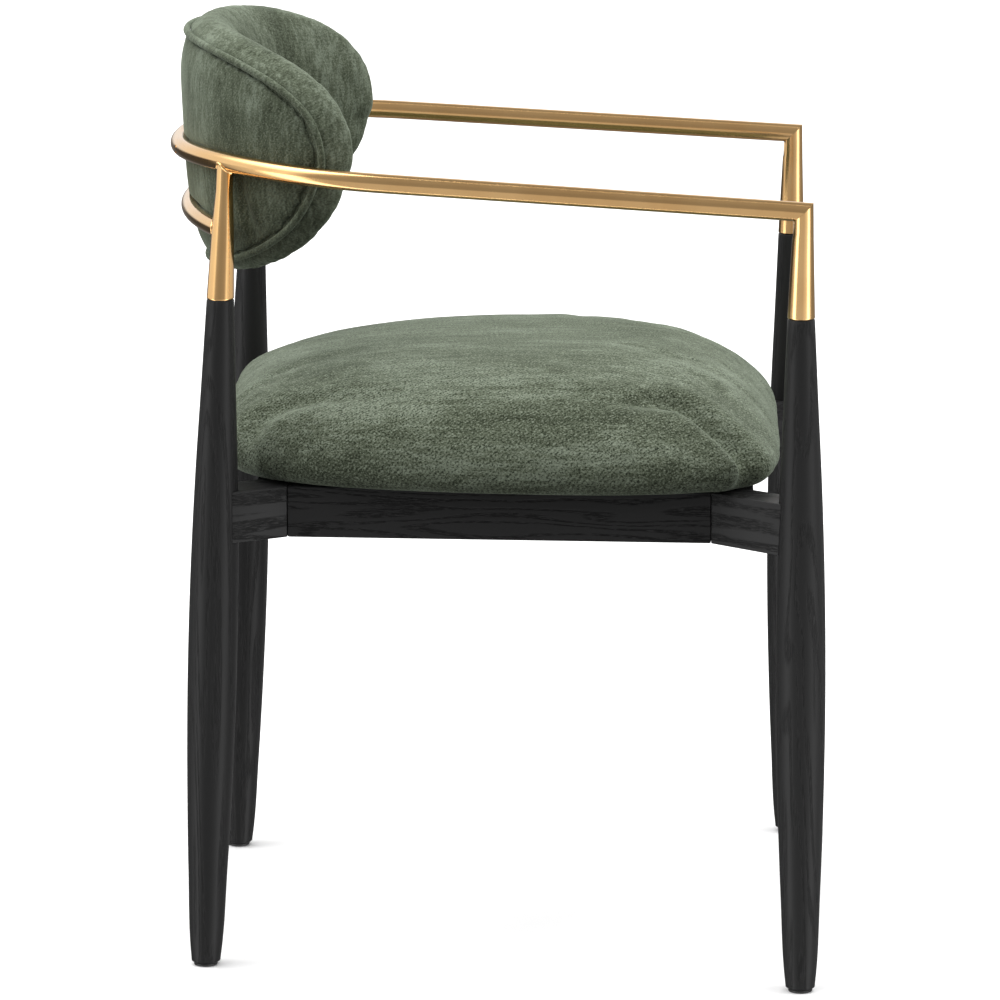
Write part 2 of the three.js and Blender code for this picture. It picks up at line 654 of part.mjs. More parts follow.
function buildBackrest() {
  const core = bentOval([[0, CORE.back], [CORE.share, CORE.back], [CORE.share, CORE.front],
    [0, CORE.front]]);
  const coreRoom = bentOval([[0, CORE.back - 2], [CORE.share + 0.004, CORE.back - 2],
    [CORE.share + 0.004, CORE.front + GAP], [0, CORE.front + GAP]]);
  const pad = bentOval(PAD_OUTLINE);
  const panel = bentOval(PANEL_OUTLINE);
  addPiece('back_core', cutBackBolts(core), plywood);
  addPiece('back_pad', cutBackBolts(pad.subtract(coreRoom)), velvet);
  addPiece('back_panel', cutBackBolts(panel), velvet);

  const ringRadius = 100;
  const ring = new THREE.TorusGeometry(ringRadius, PIPING_RADIUS, 6, 48);
  const piping = mapVertices(ring, (x, y, z) => {
    const [along, up] = oval(1, Math.atan2(y, x), Math.hypot(x, y) - ringRadius);
    return onBack(along, up, z);
  });
  addPiece('back_piping', toSolid(piping), velvet);
  for (const [name, bolt] of Object.entries(backBolts)) addPiece(name, bolt.body, brass);
}

// ---------------------------------------------------------------- assembly
const legBolts = {};
const seatScrews = {};
for (const [place, corner, railY] of [
  ['front', frontCorner, FRONT_RAIL_Y], ['rear', rearCorner, REAR_RAIL_Y]]) {
  for (const [name, side] of Object.entries(SIDES)) {
    legBolts[`leg_bolt_${place}_${name}`] = legBolt(corner, side);
    seatScrews[`seat_screw_${place}_${name}`] = seatScrew(railY, side);
  }
}
buildLegs(legBolts);
buildPosts();
buildArmRail();
buildLowerRail();
buildSeatFrame(legBolts, seatScrews);
buildSeat(seatScrews);
buildBackrest();

const bounds = new THREE.Box3().setFromObject(chair);
const middleY = (bounds.min.y + bounds.max.y) / 2;
for (const mesh of chair.children) mesh.geometry.translate(0, -middleY, 0);

export default chair;
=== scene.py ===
import math

import bpy
import numpy as np
from mathutils import Matrix, Vector


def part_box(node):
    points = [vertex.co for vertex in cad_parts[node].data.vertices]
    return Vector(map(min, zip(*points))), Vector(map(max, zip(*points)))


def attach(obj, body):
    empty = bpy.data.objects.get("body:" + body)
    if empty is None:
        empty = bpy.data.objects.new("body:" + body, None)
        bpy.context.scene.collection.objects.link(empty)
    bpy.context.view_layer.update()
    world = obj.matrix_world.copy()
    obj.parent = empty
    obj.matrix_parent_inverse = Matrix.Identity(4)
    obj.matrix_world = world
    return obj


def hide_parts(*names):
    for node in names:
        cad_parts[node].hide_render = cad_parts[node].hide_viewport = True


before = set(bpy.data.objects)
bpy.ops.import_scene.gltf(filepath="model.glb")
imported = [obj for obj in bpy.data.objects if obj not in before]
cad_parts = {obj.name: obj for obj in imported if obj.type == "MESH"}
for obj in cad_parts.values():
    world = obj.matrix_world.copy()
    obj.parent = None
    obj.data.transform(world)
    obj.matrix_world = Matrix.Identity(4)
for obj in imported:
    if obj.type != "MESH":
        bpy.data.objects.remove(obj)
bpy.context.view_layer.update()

# Dining armchair: black-stained turned legs, a brass arm rail bent round an upholstered back,
# and a crowned velvet seat. Metres, +Z up, front towards -Y, the sitter's right towards -X.
# Dimensions are laid out from the middle of the four feet, as the frame's are, and every
# piece is shifted by ORIGIN to where the frame stands.

# ---------------------------------------------------------------- driving dimensions
# Legs, on the left side; the right side mirrors X. A foot, the joint of wood and brass, and the top.
FRONT = {"foot": (0.259, -0.249, 0.0), "joint": (0.219, -0.245, 0.558), "top": (0.223, -0.246, 0.6465)}
REAR = {"foot": (0.194, 0.249, 0.0), "joint": (0.190, 0.2318, 0.567), "top": (0.150, 0.2305, 0.676)}
SIDES = {"right": -1, "left": 1}
# Turned leg: radius at each share of its height.
LEG_SHARES = (0, 0.006, 0.02, 0.14, 0.28, 0.44, 0.6, 0.75, 0.88, 1)
LEG_RADII = (0.0114, 0.012, 0.0129, 0.0163, 0.019, 0.0205, 0.0199, 0.0175, 0.0142, 0.0113)
GLIDE_HEIGHT, GLIDE_RADIUS = 0.0026, 0.010
POST_BOTTOM = 0.0114                 # radius of a post at its foot
POST_TOP = {"front": 0.008, "rear": 0.0071}
REAR_POST_TOP = (0.1452, 0.2298, 0.676)      # straight under the rail's centre line
RAIL_RADIUS = 0.008
BEND_Y, BEND_HALF, BEND_DEPTH = 0.095, 0.214, 0.184      # half ellipse in plan
ARM_RISE, BACK_DROP = 0.0202, 0.0061
LOWER_RADIUS, LOWER_HEIGHT, LOWER_BACK = 0.0075, 0.621, 0.270
WELD_RADIUS = 0.0013
JOINT_GAP = 0.0004                   # hairline left between brass and wood
MITRE_GAP = 0.00005                  # half the hairline between an arm and its front post

FRAME_TOP, FRAME_HEIGHT, RAIL_THICKNESS = 0.407, 0.043, 0.024
SIDE_RAIL = {"front": (0.193, -0.173), "rear": (0.177, 0.179)}     # outer face
FRONT_RAIL_Y, REAR_RAIL_Y = -0.208, 0.206                          # outer faces of the cross rails
BLOCK_ANGLE = {"front": 39, "rear": 33}                            # degrees from the front-back line
BLOCK_LAP = 0.030                    # how far a block runs along the inside of each rail
WOOD_SEAM = 0.0002                   # hairline at the end of a rail
WOOD_BEVEL = 0.0014

CUSHION_FRONT, CUSHION_REAR = -0.2315, 0.2405
CUSHION_HALF = {"front": 0.213, "middle": 0.221, "rear": 0.168}
CUSHION_CROWN = 0.5055
CUSHION_BOTTOM = 0.4076
CUSHION_SQUARENESS = {"crown": 3.1, "edge": 7.0}
CUSHION_FOLDS = (                    # path on the right side, width, depth
    (((-0.178, -0.090, 0.481), (-0.168, -0.123, 0.479), (-0.160, -0.145, 0.477), (-0.165, -0.160, 0.470),
      (-0.177, -0.177, 0.458), (-0.186, -0.191, 0.448), (-0.194, -0.202, 0.435), (-0.197, -0.205, 0.420),
      (-0.196, -0.205, 0.402), (-0.190, -0.202, 0.384)), 0.0105, 0.0125),
    (((-0.158, 0.220, 0.408), (-0.160, 0.212, 0.435), (-0.148, 0.201, 0.459), (-0.142, 0.184, 0.468),
      (-0.148, 0.153, 0.475), (-0.161, 0.087, 0.483)), 0.010, 0.0045),
)
PANEL_FOLDS = (
    (((-0.148, 0.218, 0.672), (-0.148, 0.217, 0.651), (-0.147, 0.214, 0.634), (-0.147, 0.209, 0.618),
      (-0.145, 0.206, 0.602)), 0.005, 0.0028),
)

BACK_HALF, BACK_DEPTH = 0.197, 0.163
BACK_MIDDLE, BACK_SPAN = 0.677, 0.229
BACK_RISE = {"upper": 0.090, "lower": 0.100}
BACK_SQUARENESS = {"upper": 2.65, "lower": 2.45}
BACK_TAPER, BACK_TOP_ROLL = 0.10, 0.5          # narrowing below, extra fullness over the top
BACK_LEAN, BACK_FLARE = 0.04, 0.009            # lean of the whole back, flare of its top
PIPING_RADIUS, PIPING_SHARE, PIPING_DEPTH = 0.0030, 1.003, -0.0010
# Profile of the front pad: shares of the seam's outline, and depths in front of the seam.
PAD_SHARES = (0.90, 0.97, 1.013, 1.043, 1.075, 1.095, 1.08, 1.03, 0.93, 0.75, 0.45, 0.0)
PAD_DEPTHS = (0.0012, 0.0010, 0.0013, 0.0072, 0.0135, 0.021, 0.0295, 0.036, 0.041, 0.0438, 0.0455, 0.046)
PAD_FULL_FROM = 0.0072               # in front of this depth the pad thins towards its bottom
PAD_THINNING = 0.25
PANEL_BULGE = 0.0175
HELD_IN, HELD_OUT = 0.004, 0.012     # covers are held within the first of the seam, free past the second
PRESS_GAP, LAST_PRESS_GAP = 0.0008, 0.0003     # room left between the panel and the two rails

TWILL_PITCH, TWILL_DIRECTION = 0.0028, (0.577, 0.577, 0.577)

FLOOR_HALF = 30
CAMERA_PLACE = (-5.0409, -0.1376, 1.4108)
CAMERA_YAW, CAMERA_PITCH = 0.0287, 0.2055
CAMERA_LENS, CAMERA_SENSOR = 215.77, 36

glide_low, glide_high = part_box("glide_front_left")
ORIGIN = np.array([0, (glide_low.y + glide_high.y) / 2 - FRONT["foot"][1], 0])
scene = bpy.context.scene


# ---------------------------------------------------------------- mesh helpers
def add_piece(name, points, faces, material, crease_degrees=None):
    """A smooth mesh piece from points laid out from the middle of the four feet."""
    mesh = bpy.data.meshes.new(name)
    mesh.from_pydata((np.asarray(points) + ORIGIN).tolist(), [], faces)
    mesh.validate()
    mesh.shade_smooth()
    if crease_degrees:
        mesh.set_sharp_from_angle(angle=math.radians(crease_degrees))
    mesh.materials.append(material)
    piece = bpy.data.objects.new(name, mesh)
    scene.collection.objects.link(piece)
    return piece


def ring_faces(rings, sides, loop=False, first=0):
    """Quads between rings of points that follow each other; loop joins the last to the first."""
    faces = []
    for ring in range(rings if loop else rings - 1):
        here = first + ring * sides
        there = first + ((ring + 1) % rings) * sides
        for side in range(sides):
            after = (side + 1) % sides
            faces.append((here + side, here + after, there + after, there + side))
    return faces


def capped(rings, sides, first=0):
    """Closed skin over a stack of rings, with a flat face at each end."""
    last = first + (rings - 1) * sides
    ends = [tuple(first + side for side in reversed(range(sides)))]
    ends.append(tuple(last + side for side in range(sides)))
    return ring_faces(rings, sides, first=first) + ends


def spline(knots, values, at):
    """Smooth curve through the given values."""
    knots = np.asarray(knots, float)
    values = np.asarray(values, float)
    slopes = np.gradient(values, knots)
    index = np.clip(np.searchsorted(knots, at) - 1, 0, len(knots) - 2)
    span = knots[index + 1] - knots[index]
    t = (at - knots[index]) / span
    return ((2 * t**3 - 3 * t**2 + 1) * values[index] + (t**3 - 2 * t**2 + t) * span * slopes[index]
            + (3 * t**2 - 2 * t**3) * values[index + 1] + (t**3 - t**2) * span * slopes[index + 1])


def unit(vector):
    vector = np.asarray(vector, float)
    return vector / np.linalg.norm(vector, axis=-1, keepdims=True)


def on_side(point, side):
    return np.array([point[0] * side, point[1], point[2]])


def circle(sides):
    angles = np.linspace(0, 2 * math.pi, sides, endpoint=False)
    return np.cos(angles), np.sin(angles)


def tube_rings(path, radius, sides):
    """Rings of points round a path that never runs straight up."""
    tangents = unit(np.gradient(path, axis=0))
    across = unit(np.cross(tangents, (0, 0, 1)))
    upward = np.cross(across, tangents)
    cosines, sines = circle(sides)
    radius = np.broadcast_to(radius, len(path))[:, None, None]
    offset = across[:, None] * cosines[None, :, None] + upward[:, None] * sines[None, :, None]
    return path[:, None] + radius * offset


def slide_to_plane(points, direction, plane_point, plane_normal):
    """Points moved along a direction until they lie on a plane."""
    reach = (plane_point - points) @ plane_normal / (direction @ plane_normal)
    return points + reach[:, None] * direction


def nearest_on_path(points, path):
    """Distance from each point to a path, the nearest place on it, and its share of the way."""
    best = np.full(len(points), np.inf)
    place = np.zeros_like(points)
    share = np.zeros(len(points))
    for i in range(len(path) - 1):
        step = path[i + 1] - path[i]
        t = np.clip((points - path[i]) @ step / (step @ step), 0, 1)
        spot = path[i] + t[:, None] * step
        distance = np.linalg.norm(points - spot, axis=1)
        closer = distance < best
        best[closer] = distance[closer]
        place[closer] = spot[closer]
        share[closer] = (i + t[closer]) / (len(path) - 1)
    return best, place, share


# ---------------------------------------------------------------- material helpers
class Shader:
    """A material's node tree, with short calls for what the materials below share."""

    def __init__(self, name):
        self.material = bpy.data.materials.new(name)
        self.material.use_nodes = True
        self.tree = self.material.node_tree
        self.surface = self.tree.nodes["Principled BSDF"]
        self.place = self.add("ShaderNodeTexCoord").outputs["Object"]

    def add(self, kind, inputs=None, **settings):
        node = self.tree.nodes.new(kind)
        for key, value in settings.items():
            setattr(node, key, value)
        for key, value in (inputs or {}).items():
            self.feed(node.inputs[key], value)
        return node

    def feed(self, socket, value):
        if isinstance(value, bpy.types.NodeSocket):
            self.tree.links.new(value, socket)
        else:
            socket.default_value = value

    def stretched(self, scale):
        return self.add("ShaderNodeMapping", {"Vector": self.place, "Scale": scale}).outputs[0]

    def noise(self, vector, scale, detail=2.0, roughness=0.5):
        return self.add("ShaderNodeTexNoise", {"Vector": vector, "Scale": scale, "Detail": detail,
                                               "Roughness": roughness}).outputs["Fac"]

    def math(self, operation, a, b=0.0):
        return self.add("ShaderNodeMath", {0: a, 1: b}, operation=operation).outputs[0]

    def remap(self, value, low, high, to_low=0.0, to_high=1.0):
        return self.add("ShaderNodeMapRange", {"Value": value, "From Min": low, "From Max": high,
                                               "To Min": to_low, "To Max": to_high},
                        interpolation_type="SMOOTHSTEP").outputs[0]

    def ramp(self, value, stops):
        node = self.add("ShaderNodeValToRGB", {0: value})
        elements = node.color_ramp.elements
        while len(elements) < len(stops):
            elements.new(0.5)
        for element, (position, colour) in zip(elements, stops):
            element.position = position
            element.color = (*colour, 1)
        return node.outputs[0]

    def mix(self, share, a, b, blend="MIX"):
        node = self.add("ShaderNodeMix", data_type="RGBA", blend_type=blend)
        for socket, value in zip((node.inputs[0], node.inputs[6], node.inputs[7]), (share, a, b)):
            self.feed(socket, (*value, 1) if isinstance(value, tuple) else value)
        return node.outputs[2]

    def bump(self, height, strength, distance, normal=None):
        inputs = {"Height": height, "Strength": strength, "Distance": distance}
        if normal is not None:
            inputs["Normal"] = normal
        return self.add("ShaderNodeBump", inputs).outputs[0]

    def finish(self, **values):
        for key, value in values.items():
            self.feed(self.surface.inputs[key.replace("_", " ")], value)
        return self.material


def make_velvet(name, nap_scale, contrast):
    """Chenille velvet: brushed patches along the nap, melange flecks and a faint diagonal twill."""
    s = Shader(name)
    patches = s.noise(s.stretched(nap_scale), 15, 4, 0.62)
    streaks = s.noise(s.stretched(tuple(3 * v * v for v in nap_scale)), 60, 3, 0.6)
    flecks = s.noise(s.stretched((1.1, 0.8, 1.1)), 700, 2, 0.75)
    loops = s.noise(s.place, 300, 1, 0.5)
    diagonal = s.add("ShaderNodeVectorMath", {0: s.place, 1: TWILL_DIRECTION}, operation="DOT_PRODUCT")
    phase = s.math("MULTIPLY", diagonal.outputs["Value"], 2 * math.pi / TWILL_PITCH)
    wander = s.math("MULTIPLY", loops, 9.0)
    twill = s.math("SINE", s.math("ADD", phase, wander))
    worn = s.math("ADD", s.math("MULTIPLY", patches, 0.55), s.math("MULTIPLY", streaks, 0.45))
    base = s.ramp(worn, [(0.39, (0.050, 0.060, 0.038)), (0.5, (0.093, 0.110, 0.074)),
                         (0.61, (0.168, 0.197, 0.146))])
    grain = s.math("ADD", s.math("MULTIPLY", flecks, 0.85), s.math("MULTIPLY", twill, 0.035))
    darker = s.mix(s.remap(grain, 0.43, 0.30, 0.0, contrast), base, (0.014, 0.018, 0.010))
    flecked = s.mix(s.remap(grain, 0.45, 0.60, 0.0, 0.7 * contrast), darker, (0.29, 0.33, 0.255))
    height = s.math("ADD", s.math("MULTIPLY", grain, 0.8), s.math("MULTIPLY", patches, 0.6))
    return s.finish(Base_Color=flecked, Roughness=s.remap(patches, 0.3, 0.7, 0.92, 0.8),
                    Normal=s.bump(height, 0.5, 0.0008), Sheen_Weight=0.3, Sheen_Roughness=0.4,
                    Sheen_Tint=(0.74, 0.86, 0.70, 1), Specular_IOR_Level=0.15)


def make_wood(name, grain_scale, rings, boldness):
    """Black-stained ash: cathedral grain, open pores and a satin lacquer."""
    s = Shader(name)
    along = s.stretched(grain_scale)
    body = s.noise(along, 17, 2, 0.45)
    figure = s.math("SINE", s.math("MULTIPLY", body, rings))
    pores = s.noise(s.stretched(tuple(v * 14 for v in grain_scale)), 46, 2, 0.6)
    dark = s.math("MULTIPLY", s.remap(figure, -0.1, 0.85, 0.0, boldness), s.remap(pores, 0.40, 0.56))
    cloud = s.noise(along, 6, 3)
    tone = s.ramp(cloud, [(0.3, (0.0140, 0.0140, 0.0142)), (0.7, (0.0225, 0.0225, 0.0227))])
    colour = s.mix(dark, tone, (0.0008, 0.0008, 0.0008))
    lowered = s.math("MULTIPLY", dark, -1.0)
    return s.finish(Base_Color=colour, Roughness=s.math("ADD", s.math("MULTIPLY", dark, 0.3), 0.42),
                    Normal=s.bump(lowered, 0.7, 0.0006), Specular_IOR_Level=0.22)


def make_brass(name):
    """Satin brass plating under a thin lacquer, brushed very finely."""
    s = Shader(name)
    brushed = s.noise(s.stretched((1, 1, 1)), 900, 2, 0.7)
    haze = s.noise(s.place, 22, 3)
    colour = s.ramp(haze, [(0.35, (0.80, 0.485, 0.20)), (0.65, (0.86, 0.54, 0.235))])
    return s.finish(Base_Color=colour, Metallic=1.0, Roughness=s.remap(brushed, 0.3, 0.7, 0.13, 0.20),
                    Normal=s.bump(brushed, 0.06, 0.0001), Coat_Weight=0.35, Coat_Roughness=0.1)


def make_plain(name, low, high, grain_scale, roughness, metallic=0.0):
    """A mottled or grained finish for the parts that hardly show."""
    s = Shader(name)
    grain = s.noise(s.stretched(grain_scale), 60, 4, 0.6)
    return s.finish(Base_Color=s.ramp(grain, [(0.3, low), (0.7, high)]), Metallic=metallic,
                    Roughness=s.remap(grain, 0.3, 0.7, roughness, roughness + 0.12),
                    Normal=s.bump(grain, 0.3, 0.0003))


def make_floor_material():
    s = Shader("pale_floor")
    grain = s.noise(s.place, 3, 3)
    return s.finish(Base_Color=s.ramp(grain, [(0.3, (0.90, 0.90, 0.90)), (0.7, (0.92, 0.92, 0.92))]),
                    Roughness=0.9)


seat_velvet = make_velvet("seat_velvet", (1.1, 0.36, 1.3), 1.0)
back_velvet = make_velvet("back_velvet", (1.2, 1.2, 0.55), 0.5)
leg_wood = make_wood("leg_ash", (1.6, 1.6, 0.07), 95.0, 0.4)
rail_wood = make_wood("rail_ash", (1.0, 0.16, 1.6), 95.0, 1.0)
cross_wood = make_wood("cross_ash", (0.16, 1.0, 1.6), 95.0, 1.0)
block_wood = make_wood("block_ash", (0.3, 0.12, 2.4), 45.0, 0.7)
brass = make_brass("satin_brass")
steel = make_plain("zinc_steel", (0.42, 0.42, 0.40), (0.6, 0.6, 0.57), (1, 1, 1), 0.3, 1.0)
plywood = make_plain("birch_plywood", (0.42, 0.29, 0.16), (0.58, 0.43, 0.26), (0.3, 1, 6), 0.55)
lining = make_plain("black_lining", (0.012, 0.012, 0.012), (0.028, 0.028, 0.028), (8, 8, 8), 0.85)
nylon = make_plain("black_nylon", (0.014, 0.014, 0.014), (0.024, 0.024, 0.024), (4, 4, 4), 0.45)


# ---------------------------------------------------------------- camera, light and floor
def make_camera():
    forward = np.array([math.cos(CAMERA_PITCH) * math.cos(CAMERA_YAW),
                        math.cos(CAMERA_PITCH) * math.sin(CAMERA_YAW), -math.sin(CAMERA_PITCH)])
    right = np.array([math.sin(CAMERA_YAW), -math.cos(CAMERA_YAW), 0])
    upward = np.cross(right, forward)
    data = bpy.data.cameras.new("camera")
    data.lens = CAMERA_LENS
    data.sensor_width = CAMERA_SENSOR
    data.clip_end = 100
    camera = bpy.data.objects.new("camera", data)
    scene.collection.objects.link(camera)
    axes = Matrix(np.array([right, upward, -forward]).T.tolist()).to_4x4()
    camera.matrix_world = Matrix.Translation(Vector(np.array(CAMERA_PLACE) + ORIGIN)) @ axes
    scene.camera = camera


def add_soft_sun(name, towards, strength, degrees):
    """A sun spread over a wide angle, shining from the direction given."""
    data = bpy.data.lights.new(name, "SUN")
    data.energy = strength
    data.angle = math.radians(degrees)
    light = bpy.data.objects.new(name, data)
    light.rotation_euler = Vector(towards).to_track_quat("Z", "Y").to_euler()
    light.visible_glossy = False
    scene.collection.objects.link(light)


def make_studio():
    """Two sets of soft surroundings: soft boxes that gloss mirrors, and a dimmer fill for all else."""
    world = bpy.data.worlds.new("studio")
    scene.world = world
    world.use_nodes = True
    tree = world.node_tree

    def add(kind, inputs=None, **settings):
        node = tree.nodes.new(kind)
        for key, value in settings.items():
            setattr(node, key, value)
        for key, value in (inputs or {}).items():
            if isinstance(value, bpy.types.NodeSocket):
                tree.links.new(value, node.inputs[key])
            else:
                node.inputs[key].default_value = value
        return node.outputs[0]

    def around(heading, stops):
        """Brightness round the horizon, from pairs of degrees and value: 0 is -X, 90 is -Y."""
        share = add("ShaderNodeMapRange", {"Value": heading, "From Min": -math.pi, "From Max": math.pi})
        ramp = tree.nodes.new("ShaderNodeValToRGB")
        tree.links.new(share, ramp.inputs[0])
        elements = ramp.color_ramp.elements
        while len(elements) < len(stops):
            elements.new(0.5)
        for element, (degrees, value) in zip(elements, stops):
            element.position = (degrees + 180) / 360
            element.color = (value, value, value, 1)
        return ramp.outputs[0]

    direction = tree.nodes.new("ShaderNodeTexCoord").outputs["Generated"]
    axes = tree.nodes.new("ShaderNodeSeparateXYZ")
    tree.links.new(direction, axes.inputs[0])
    rightward = add("ShaderNodeMath", {0: axes.outputs[0], 1: -1.0}, operation="MULTIPLY")
    forward = add("ShaderNodeMath", {0: axes.outputs[1], 1: -1.0}, operation="MULTIPLY")
    heading = add("ShaderNodeMath", {0: forward, 1: rightward}, operation="ARCTAN2")
    low = around(heading, [(-180, 0.3), (-150, 0.06), (-112, 0.06), (-100, 0.6), (-80, 0.85), (-70, 3.2),
                           (-56, 3.2), (-46, 0.62), (8, 0.62), (30, 0.9), (46, 1.2), (54, 3.2), (68, 3.0),
                           (80, 0.8), (95, 0.3), (135, 0.28), (180, 0.3)])
    high = around(heading, [(-180, 1.0), (-110, 1.0), (-72, 1.1), (-62, 1.4), (-46, 0.42), (0, 0.32),
                            (40, 0.42), (58, 1.4), (72, 0.9), (110, 0.7), (180, 1.0)])
    overhead = add("ShaderNodeMapRange", {"Value": axes.outputs[2], "From Min": 0.45, "From Max": 0.9},
                   interpolation_type="SMOOTHSTEP")

    def blend(share, a, b):
        node = tree.nodes.new("ShaderNodeMix")
        node.data_type = "RGBA"
        for socket, value in zip((node.inputs[0], node.inputs[6], node.inputs[7]), (share, a, b)):
            if isinstance(value, bpy.types.NodeSocket):
                tree.links.new(value, socket)
            else:
                socket.default_value = value
        return node.outputs[2]

    ceiling = around(heading, [(-180, 0.3), (-140, 0.7), (-118, 4.5), (-75, 4.5), (-50, 0.7), (-25, 0.38),
                               (0, 0.38), (40, 0.4), (90, 0.9), (140, 0.4), (180, 0.3)])
    above = blend(overhead, high, ceiling)
    risen = add("ShaderNodeMapRange", {"Value": axes.outputs[2], "From Min": -0.08, "From Max": 0.06},
                interpolation_type="SMOOTHSTEP")
    mirrored = blend(risen, low, above)
    level = around(heading, [(-180, 0.55), (-140, 0.8), (-90, 1.0), (-45, 0.45), (0, 0.14), (45, 0.45),
                             (90, 0.9), (140, 0.8), (180, 0.55)])
    skyward = add("ShaderNodeMapRange", {"Value": axes.outputs[2], "From Min": 0.2, "From Max": 0.8},
                  interpolation_type="SMOOTHSTEP")
    lifted = add("ShaderNodeMapRange", {"Value": axes.outputs[2], "From Min": -0.35, "From Max": 0.15},
                 interpolation_type="SMOOTHSTEP")
    fill = blend(lifted, (0.26, 0.26, 0.26, 1), blend(skyward, level, (1.0, 1.0, 1.0, 1)))
    glossy = tree.nodes.new("ShaderNodeLightPath").outputs["Is Glossy Ray"]
    tree.links.new(blend(glossy, fill, mirrored), tree.nodes["Background"].inputs["Color"])


def make_floor():
    corners = FLOOR_HALF * np.array([(-1, -1, 0), (1, -1, 0), (1, 1, 0), (-1, 1, 0)])
    floor = add_piece("floor", corners, [(0, 1, 2, 3)], make_floor_material())
    floor.visible_glossy = False
    floor.visible_diffuse = False


# ---------------------------------------------------------------- brass
def rail_height(y):
    slope = ARM_RISE / (BEND_Y - FRONT["top"][1])
    into_bend = np.maximum(0, (y - BEND_Y) / BEND_DEPTH)
    return FRONT["top"][2] + slope * (y - FRONT["top"][1]) - BACK_DROP * into_bend**6


def make_rail_path():
    """Centre line of the arm rail, from the left front corner round the back to the right one."""
    corner = np.array(FRONT["top"])
    bend = np.array([BEND_HALF, BEND_Y, rail_height(BEND_Y)])
    arm = corner + np.linspace(0, 1, 60)[:-1, None] * (bend - corner)
    angles = np.linspace(0, math.pi, 190)
    y = BEND_Y + BEND_DEPTH * np.sin(angles)
    curve = np.stack([BEND_HALF * np.cos(angles), y, rail_height(y)], axis=1)
    path = np.concatenate([arm, curve, (arm * (-1, 1, 1))[::-1]])
    for _ in range(40):
        path[1:-1] = (path[:-2] + 2 * path[1:-1] + path[2:]) / 4
    return path


def make_lower_path():
    post = leg_line(REAR, "joint", "top", LOWER_HEIGHT)
    sag = LOWER_BACK - post[1]
    radius = (post[0] ** 2 + sag**2) / (2 * sag)
    angles = np.linspace(1, -1, 90) * math.asin(post[0] / radius)
    return np.stack([radius * np.sin(angles), LOWER_BACK - radius * (1 - np.cos(angles)),
                     np.full(len(angles), LOWER_HEIGHT)], axis=1)


def leg_line(leg, start, end, height):
    start, end = np.array(leg[start]), np.array(leg[end])
    return start + (end - start) * (height - start[2]) / (end[2] - start[2])


def mitre(side):
    """The plane between an arm and its front post; its normal points along the arm."""
    corner = on_side(FRONT["top"], side)
    along_arm = unit(np.array([BEND_HALF * side, BEND_Y, rail_height(BEND_Y)]) - corner)
    down_post = unit(on_side(FRONT["joint"], side) - corner)
    return corner, along_arm, down_post, unit(along_arm - down_post)


def build_arm_rail():
    sides = 40
    rings = tube_rings(rail_path, RAIL_RADIUS, sides)
    for index, side in ((0, 1), (-1, -1)):
        corner, along_arm, _, normal = mitre(side)
        rings[index] = slide_to_plane(rings[index], along_arm, corner + MITRE_GAP * normal, normal)
    keep = np.ones(len(rings), bool)
    for side in SIDES.values():
        corner, _, _, normal = mitre(side)
        keep &= ((rings - corner) @ normal).min(axis=1) > -MITRE_GAP
    keep[[0, -1]] = True
    rings = rings[keep]
    rail = add_piece("brass_arm_rail", rings.reshape(-1, 3), capped(len(rings), sides), brass, 50)
    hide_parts("arm_rail")
    return rail


def post_rings(place, leg, side, heights, sides):
    """Level rings up a tapered post, at shares of its height, with a softened lower lip."""
    start = on_side(leg["joint"], side) + (0, 0, JOINT_GAP / 2)
    end = on_side(leg["top"] if place == "front" else REAR_POST_TOP, side)
    cosines, sines = circle(sides)
    radii = POST_BOTTOM + (POST_TOP[place] - POST_BOTTOM) * heights
    lip = 0.0006
    radii = np.where(heights == heights[0], radii - lip, radii)
    centres = start + heights[:, None] * (end - start)
    flat = np.stack([cosines, sines, np.zeros(sides)], axis=1)
    return centres[:, None] + radii[:, None, None] * flat[None]


def weld_bead(path, radius, seed):
    """A closed, slightly rippled bead of weld round a joint; returns its points and faces."""
    sides = 10
    closed = np.concatenate([path[-1:], path, path[:1]])
    tangents = unit(closed[2:] - closed[:-2])
    centre = path.mean(axis=0)
    outward = unit(path - centre)
    across = unit(np.cross(tangents, outward))
    outward = np.cross(across, tangents)
    phases = np.random.default_rng(seed).uniform(0, 2 * math.pi, 3)
    turn = np.linspace(0, 2 * math.pi, len(path), endpoint=False)
    ripple = 1 + 0.10 * np.sin(9 * turn + phases[0]) + 0.06 * np.sin(17 * turn + phases[1])
    cosines, sines = circle(sides)
    ring = outward[:, None] * cosines[None, :, None] + across[:, None] * sines[None, :, None]
    points = path[:, None] + (radius * ripple)[:, None, None] * ring
    return points.reshape(-1, 3), ring_faces(len(path), sides, loop=True)


def rise_to_tube(ring, direction, path, radius):
    """Each point of a ring moved along a direction until it meets a tube round a path."""
    low, high = np.zeros(len(ring)), np.full(len(ring), 0.03)
    for _ in range(24):
        middle = (low + high) / 2
        distance, _, _ = nearest_on_path(ring + middle[:, None] * direction, path)
        outside = distance > radius
        low = np.where(outside, middle, low)
        high = np.where(outside, high, middle)
    return ring + low[:, None] * direction


